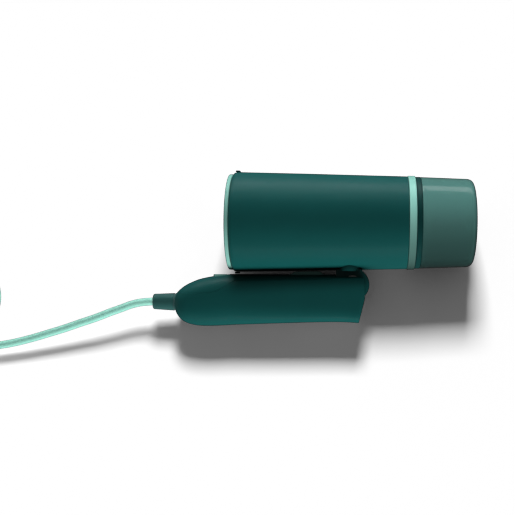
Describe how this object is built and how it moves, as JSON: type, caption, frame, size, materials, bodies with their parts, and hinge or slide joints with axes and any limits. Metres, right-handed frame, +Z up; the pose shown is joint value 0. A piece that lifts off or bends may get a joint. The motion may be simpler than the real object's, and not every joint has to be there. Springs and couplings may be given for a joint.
{
  "type": "handheld garment steamer",
  "caption": "Compact garment steamer with a folding handle, a tapered round steam head, a pull-off water tank and a mains cord.",
  "frame": {"origin": "centre of the housing's footprint, on the surface that it lies on, cord and strain relief left out", "axes": "+X from the steam plate towards the water tank, along the head; +Y from the folded handle towards the head; +Z up from the surface"},
  "size_m": [0.485, 0.134, 0.0741],
  "materials": {
    "shell": "satin, fine grain",
    "mint": "satin",
    "dark": "satin",
    "relief": "matt",
    "smoke": "clear, smoked",
    "soleplate": "brushed",
    "cast": "as cast",
    "steel": "bright",
    "brass": "plain",
    "silicone": "plain",
    "inner": "plain",
    "board": "plain",
    "cord": "matt, smooth"
  },
  "bodies": {
    "handle": {"grip_rear_shell": "shell", "grip_front_cover": "shell", "hinge_pin": "steel", "friction_washer_left": "steel", "friction_washer_right": "steel", "trigger_pivot": "steel", "trigger_switch": "inner", "power_switch": "inner", "indicator_lens": "silicone", "control_board": "board", "relay": "inner", "grip_screw_1": "steel", "grip_screw_2": "steel", "strain_relief": "relief", "cord_clamp": "inner", "clamp_screw_1": "steel", "clamp_screw_2": "steel", "mains_cord": "cord", "mains_cord_tail": "cord", "cord_coil": "cord", "cord_tie": "dark", "plug_body": "dark", "plug_pin_1": "steel", "plug_pin_2": "steel"},
    "head": {"barrel_shell": "shell", "front_ring": "mint", "rear_trim_ring": "mint", "brush_catch_upper": "dark", "brush_catch_lower": "dark", "hinge_neck": "shell", "steam_plate": "soleplate", "plate_gasket": "silicone", "steam_chamber": "cast", "heating_element": "steel", "thermostat": "brass", "thermal_fuse": "silicone", "heat_shield": "inner", "pump": "inner", "pump_yoke": "steel", "pump_mount_front": "relief", "pump_mount_rear": "relief", "chassis_tray": "inner", "pressure_hose": "silicone", "suction_hose": "silicone", "rear_bulkhead": "inner"},
    "tank": {"tank_shell": "smoke", "tank_collar": "dark", "tank_seal": "silicone"},
    "valve": {"valve_poppet": "brass", "valve_spring": "steel"},
    "filler": {"filler_plug": "dark"},
    "trigger": {"steam_trigger": "mint", "trigger_spring": "steel"},
    "button": {"power_button": "mint"}
  },
  "joints": [
    {"name": "head_fold", "type": "hinge", "parent": "handle", "child": "head", "pos_m": [0.02153, -0.02447, 0.02218], "axis": [-0.0192, 0.2907, -0.9566], "range_deg": [0, 100]},
    {"name": "tank_pull", "type": "slide", "parent": "head", "child": "tank", "axis": [0.9998, 0, -0.0201], "range_m": [0, 0.05]},
    {"name": "tank_valve", "type": "slide", "parent": "tank", "child": "valve", "axis": [0.9998, 0, -0.0201], "range_m": [0, 0.0015], "stiffness_N_per_m": 400, "springref_m": -0.001},
    {"name": "filler_pull", "type": "slide", "parent": "tank", "child": "filler", "axis": [0.9998, 0, -0.0201], "range_m": [0, 0.012]},
    {"name": "trigger_press", "type": "hinge", "parent": "handle", "child": "trigger", "pos_m": [0.00254, -0.02361, 0.02282], "axis": [0.0192, -0.2907, 0.9566], "range_deg": [0, 4.5], "stiffness_Nm_per_rad": 1, "springref_deg": -3.44},
    {"name": "power_press", "type": "slide", "parent": "handle", "child": "button", "axis": [-0.0058, -0.9568, -0.2906], "range_m": [0, 0.0012], "stiffness_N_per_m": 1500, "springref_m": -0.0008}
  ]
}
